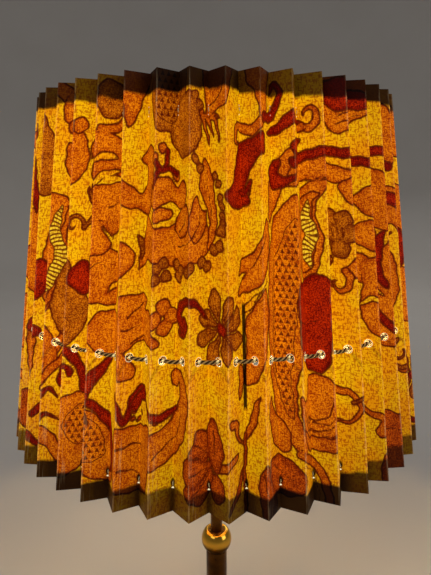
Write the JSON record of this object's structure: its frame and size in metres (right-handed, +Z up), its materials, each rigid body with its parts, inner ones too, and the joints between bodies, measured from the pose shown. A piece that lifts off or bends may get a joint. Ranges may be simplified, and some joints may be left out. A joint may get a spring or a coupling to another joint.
{
  "type": "pleated table lamp",
  "caption": "Table lamp with a laced, accordion-pleated printed linen shade, a telescoping brass stem locked by a ball collar, and a weighted round base.",
  "frame": {"origin": "centre of the base's underside, on the surface the lamp stands on", "axes": "+Z up along the stem, -Y to the front, +X to the right as seen from the front"},
  "size_m": [0.3048, 0.3048, 0.5],
  "materials": {
    "felt": "dense wool felt",
    "cast_iron": "rough cast",
    "brass_base": "aged, lacquered",
    "grommet": "smooth",
    "steel": "zinc plated",
    "brass_tube": "aged, lacquered",
    "brass_ball": "polished",
    "brass_bush": "bright turned",
    "brass_rod": "drawn, slightly tarnished",
    "brass_holder": "spun, satin",
    "porcelain": "glazed porcelain",
    "solder": "dull solder",
    "black_glass": "black vitrite",
    "bulb_metal": "rolled thread",
    "bulb_glass": "clear",
    "glass_stem": "clear",
    "filament": "glowing",
    "printed_linen": "printed slubby linen on stiff backing, lit from inside",
    "linen_hem": "turned-in cloth",
    "cord": "twisted cotton",
    "thread": "sewing thread",
    "frame_wire": "white dipped wire"
  },
  "bodies": {
    "base": {"felt_pad": "felt", "base_weight": "cast_iron", "base_shell": "brass_base", "stem_flange": "brass_base", "cord_grommet": "grommet", "stem_washer": "steel", "stem_locknut": "steel", "outer_tube": "brass_tube"},
    "collar": {"ball_collar": "brass_ball", "collar_bush": "brass_bush"},
    "stem": {"inner_rod": "brass_rod", "rod_guide": "brass_rod", "holder_cap": "brass_holder", "holder_insulator": "porcelain", "holder_body": "brass_holder", "screw_shell": "brass_bush", "centre_contact": "brass_bush", "terminal_screws": "steel"},
    "switch": {"switch_key": "brass_bush"},
    "ring": {"shade_ring": "brass_holder"},
    "bulb": {"bulb_tip": "solder", "bulb_insulator": "black_glass", "bulb_cap": "bulb_metal", "bulb_glass": "bulb_glass", "filament_mount": "glass_stem", "filaments": "filament"},
    "shade": {"shade_panel_right": "printed_linen", "shade_panel_left": "printed_linen", "top_hem": "linen_hem", "bottom_hem": "linen_hem", "lacing_cord": "cord", "bottom_ring": "frame_wire", "top_ring": "frame_wire", "fitter_ring": "frame_wire", "bottom_stitches": "thread", "top_stitches": "thread", "rib_1": "frame_wire", "rib_2": "frame_wire", "rib_3": "frame_wire", "rib_4": "frame_wire", "carrier_arm_1": "frame_wire", "carrier_arm_2": "frame_wire", "carrier_arm_3": "frame_wire", "carrier_arm_4": "frame_wire"}
  },
  "joints": [
    {"name": "collar_turn", "type": "hinge", "parent": "base", "child": "collar", "pos_m": [0, 0, 0.148], "axis": [0, 0, 1], "range_deg": [0, 180]},
    {"name": "stem_slide", "type": "slide", "parent": "base", "child": "stem", "axis": [0, 0, 1], "range_m": [-0.07, 0.04]},
    {"name": "switch_turn", "type": "hinge", "parent": "stem", "child": "switch", "pos_m": [0.03, 0, 0.307], "axis": [1, 0, 0], "range_deg": [0, 90]},
    {"name": "ring_turn", "type": "hinge", "parent": "stem", "child": "ring", "pos_m": [0, 0, 0.323], "axis": [0, 0, 1], "continuous": true},
    {"name": "bulb_turn", "type": "hinge", "parent": "stem", "child": "bulb", "pos_m": [0, 0, 0.32], "axis": [0, 0, 1], "continuous": true},
    {"name": "shade_turn", "type": "hinge", "parent": "stem", "child": "shade", "pos_m": [0, 0, 0.318], "axis": [0, 0, 1], "continuous": true}
  ]
}
